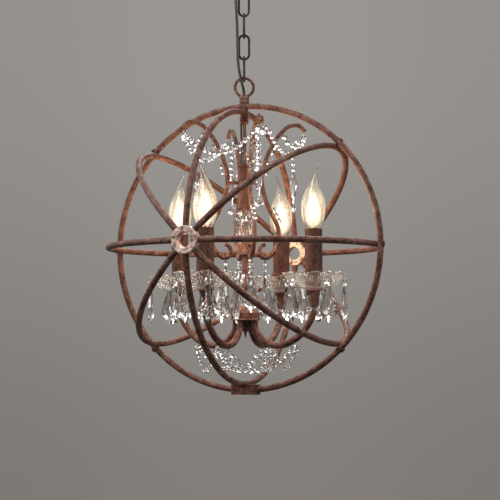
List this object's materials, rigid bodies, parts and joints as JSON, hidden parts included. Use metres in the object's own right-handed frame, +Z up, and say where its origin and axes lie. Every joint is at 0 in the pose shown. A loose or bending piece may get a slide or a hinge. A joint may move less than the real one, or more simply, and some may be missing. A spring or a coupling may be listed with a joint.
{
  "type": "orb crystal chandelier",
  "caption": "Open orb of rust-finished iron rings round a crystal candle chandelier with clear flame-tip lamps, hung by a chain and cord from a ceiling canopy.",
  "frame": {"origin": "middle of the ceiling face of the strap and canopy", "axes": "+Z up; the orb's hubs lie on the Y axis and its outer ring in the XZ plane"},
  "size_m": [0.4344, 0.4156, 0.6635],
  "materials": {
    "rust_iron": "rough brown rust with paler pink-tan specks",
    "strap_steel": "plain zinc-plated steel",
    "black_cord": "satin black sheath",
    "crystal": "clear polished facets",
    "lamp_glass": "clear blown glass",
    "lamp_brass": "plain brass",
    "holder_plastic": "matt moulded plastic"
  },
  "bodies": {
    "ceiling_fitting": {"ceiling_canopy": "rust_iron", "ceiling_strap": "strap_steel", "canopy_loop": "rust_iron", "shank_nut": "strap_steel", "terminal_block": "holder_plastic", "cord_bush": "black_cord", "supply_cord": "black_cord"},
    "link_4": {"chain_link_4": "rust_iron"},
    "link_3": {"chain_link_3": "rust_iron"},
    "link_2": {"chain_link_2": "rust_iron"},
    "link_1": {"chain_link_1": "rust_iron"},
    "orb": {"top_loop": "rust_iron", "ring_boss": "rust_iron", "outer_ring": "rust_iron", "level_ring": "rust_iron", "upright_ring": "rust_iron", "rising_ring": "rust_iron", "falling_ring": "rust_iron", "orb_hubs": "rust_iron", "bottom_clip": "rust_iron", "ring_rivets": "rust_iron", "stem_rod": "rust_iron", "column_tube": "rust_iron", "column_sleeve": "rust_iron", "scroll_spiders": "rust_iron", "lyre_scrolls": "rust_iron", "arm_hub": "rust_iron", "hub_finial": "rust_iron", "candle_arms": "rust_iron", "candle_cups": "rust_iron", "candle_sleeves": "rust_iron", "crystal_pins": "strap_steel", "wiring": "black_cord", "lampholders": "holder_plastic", "lamp_bases": "lamp_brass", "lamp_glasses": "lamp_glass", "bobeches": "crystal", "glass_collar": "crystal", "glass_ball": "crystal", "garlands": "crystal"},
    "drop_right_1": {"drop_right_1": "crystal"},
    "drop_right_2": {"drop_right_2": "crystal"},
    "drop_right_3": {"drop_right_3": "crystal"},
    "drop_right_4": {"drop_right_4": "crystal"},
    "drop_right_5": {"drop_right_5": "crystal"},
    "drop_rear_1": {"drop_rear_1": "crystal"},
    "drop_rear_2": {"drop_rear_2": "crystal"},
    "drop_rear_3": {"drop_rear_3": "crystal"},
    "drop_rear_4": {"drop_rear_4": "crystal"},
    "drop_rear_5": {"drop_rear_5": "crystal"},
    "drop_left_1": {"drop_left_1": "crystal"},
    "drop_left_2": {"drop_left_2": "crystal"},
    "drop_left_3": {"drop_left_3": "crystal"},
    "drop_left_4": {"drop_left_4": "crystal"},
    "drop_left_5": {"drop_left_5": "crystal"},
    "drop_front_1": {"drop_front_1": "crystal"},
    "drop_front_2": {"drop_front_2": "crystal"},
    "drop_front_3": {"drop_front_3": "crystal"},
    "drop_front_4": {"drop_front_4": "crystal"},
    "drop_front_5": {"drop_front_5": "crystal"}
  },
  "joints": [
    {"name": "link_4_swing", "type": "hinge", "parent": "ceiling_fitting", "child": "link_4", "pos_m": [0, 0, -0.0661], "axis": [0.3907, -0.9205, 0], "range_deg": [-20, 20], "deforming": ["supply_cord"]},
    {"name": "link_3_swing", "type": "hinge", "parent": "link_4", "child": "link_3", "pos_m": [0, 0, -0.09835], "axis": [0.9205, 0.3907, 0], "range_deg": [-20, 20], "deforming": ["supply_cord"]},
    {"name": "link_2_turn", "type": "hinge", "parent": "link_3", "child": "link_2", "pos_m": [0, 0, -0.13105], "axis": [0, 0, 1], "range_deg": [-15, 15], "deforming": ["supply_cord"]},
    {"name": "link_1_swing", "type": "hinge", "parent": "link_2", "child": "link_1", "pos_m": [0, 0, -0.16375], "axis": [0.9205, 0.3907, 0], "range_deg": [-20, 20], "deforming": ["supply_cord"]},
    {"name": "orb_swing", "type": "hinge", "parent": "link_1", "child": "orb", "pos_m": [0, 0, -0.19645], "axis": [0.3907, -0.9205, 0], "range_deg": [-20, 20], "deforming": ["supply_cord"]},
    {"name": "drop_right_1_swing", "type": "hinge", "parent": "orb", "child": "drop_right_1", "pos_m": [0.06912, -0.00726, -0.4963], "axis": [-0.9945, 0.1045, 0], "range_deg": [-8, 8]},
    {"name": "drop_right_2_swing", "type": "hinge", "parent": "orb", "child": "drop_right_2", "pos_m": [0.09528, -0.05257, -0.4963], "axis": [-0.4067, -0.9135, 0], "range_deg": [-8, 8]},
    {"name": "drop_right_3_swing", "type": "hinge", "parent": "orb", "child": "drop_right_3", "pos_m": [0.14645, -0.04169, -0.4963], "axis": [0.7431, -0.6691, 0], "range_deg": [-8, 8]},
    {"name": "drop_right_4_swing", "type": "hinge", "parent": "orb", "child": "drop_right_4", "pos_m": [0.15191, 0.01033, -0.4963], "axis": [0.866, 0.5, 0], "range_deg": [-8, 8]},
    {"name": "drop_right_5_swing", "type": "hinge", "parent": "orb", "child": "drop_right_5", "pos_m": [0.10412, 0.03161, -0.4963], "axis": [-0.2079, 0.9781, 0], "range_deg": [-8, 8]},
    {"name": "drop_rear_1_swing", "type": "hinge", "parent": "orb", "child": "drop_rear_1", "pos_m": [0.00726, 0.06912, -0.4963], "axis": [-0.1045, -0.9945, 0], "range_deg": [-8, 8]},
    {"name": "drop_rear_2_swing", "type": "hinge", "parent": "orb", "child": "drop_rear_2", "pos_m": [0.05257, 0.09528, -0.4963], "axis": [0.9135, -0.4067, 0], "range_deg": [-8, 8]},
    {"name": "drop_rear_3_swing", "type": "hinge", "parent": "orb", "child": "drop_rear_3", "pos_m": [0.04169, 0.14645, -0.4963], "axis": [0.6691, 0.7431, 0], "range_deg": [-8, 8]},
    {"name": "drop_rear_4_swing", "type": "hinge", "parent": "orb", "child": "drop_rear_4", "pos_m": [-0.01033, 0.15191, -0.4963], "axis": [-0.5, 0.866, 0], "range_deg": [-8, 8]},
    {"name": "drop_rear_5_swing", "type": "hinge", "parent": "orb", "child": "drop_rear_5", "pos_m": [-0.03161, 0.10412, -0.4963], "axis": [-0.9781, -0.2079, 0], "range_deg": [-8, 8]},
    {"name": "drop_left_1_swing", "type": "hinge", "parent": "orb", "child": "drop_left_1", "pos_m": [-0.06912, 0.00726, -0.4963], "axis": [0.9945, -0.1045, 0], "range_deg": [-8, 8]},
    {"name": "drop_left_2_swing", "type": "hinge", "parent": "orb", "child": "drop_left_2", "pos_m": [-0.09528, 0.05257, -0.4963], "axis": [0.4067, 0.9135, 0], "range_deg": [-8, 8]},
    {"name": "drop_left_3_swing", "type": "hinge", "parent": "orb", "child": "drop_left_3", "pos_m": [-0.14645, 0.04169, -0.4963], "axis": [-0.7431, 0.6691, 0], "range_deg": [-8, 8]},
    {"name": "drop_left_4_swing", "type": "hinge", "parent": "orb", "child": "drop_left_4", "pos_m": [-0.15191, -0.01033, -0.4963], "axis": [-0.866, -0.5, 0], "range_deg": [-8, 8]},
    {"name": "drop_left_5_swing", "type": "hinge", "parent": "orb", "child": "drop_left_5", "pos_m": [-0.10412, -0.03161, -0.4963], "axis": [0.2079, -0.9781, 0], "range_deg": [-8, 8]},
    {"name": "drop_front_1_swing", "type": "hinge", "parent": "orb", "child": "drop_front_1", "pos_m": [-0.00726, -0.06912, -0.4963], "axis": [0.1045, 0.9945, 0], "range_deg": [-8, 8]},
    {"name": "drop_front_2_swing", "type": "hinge", "parent": "orb", "child": "drop_front_2", "pos_m": [-0.05257, -0.09528, -0.4963], "axis": [-0.9135, 0.4067, 0], "range_deg": [-8, 8]},
    {"name": "drop_front_3_swing", "type": "hinge", "parent": "orb", "child": "drop_front_3", "pos_m": [-0.04169, -0.14645, -0.4963], "axis": [-0.6691, -0.7431, 0], "range_deg": [-8, 8]},
    {"name": "drop_front_4_swing", "type": "hinge", "parent": "orb", "child": "drop_front_4", "pos_m": [0.01033, -0.15191, -0.4963], "axis": [0.5, -0.866, 0], "range_deg": [-8, 8]},
    {"name": "drop_front_5_swing", "type": "hinge", "parent": "orb", "child": "drop_front_5", "pos_m": [0.03161, -0.10412, -0.4963], "axis": [0.9781, 0.2079, 0], "range_deg": [-8, 8]}
  ]
}
